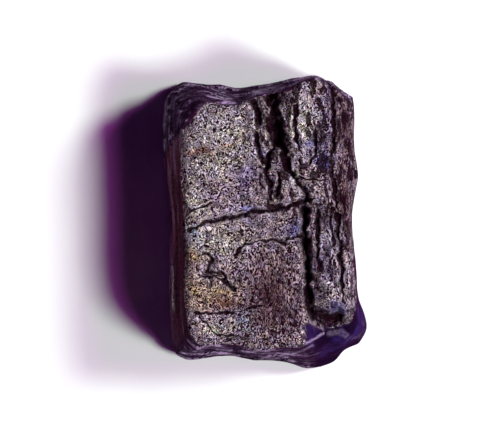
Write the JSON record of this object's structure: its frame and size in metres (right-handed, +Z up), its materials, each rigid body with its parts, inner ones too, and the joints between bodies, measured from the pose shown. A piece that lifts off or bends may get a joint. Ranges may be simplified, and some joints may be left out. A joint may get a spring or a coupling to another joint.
{
  "type": "rough tanzanite crystal",
  "caption": "Rough tanzanite crystal: a dark violet-brown prism fragment with an etched, pewter-lustred face, a deep groove, cracks and broken glassy ends, lying on a flat face.",
  "frame": {"origin": "middle of the stone's box in plan, on the flat face it rests on", "axes": "+Y along the prism and its striations, +Z up through the etched face, +X to the side with the lower shoulder"},
  "size_m": [0.0154, 0.022, 0.0104],
  "materials": {
    "tanzanite": "etched crystal face with a pewter lustre over dark violet-brown, glassy purple where it is broken"
  },
  "bodies": {
    "root": {"tanzanite_crystal": "tanzanite"}
  },
  "joints": []
}
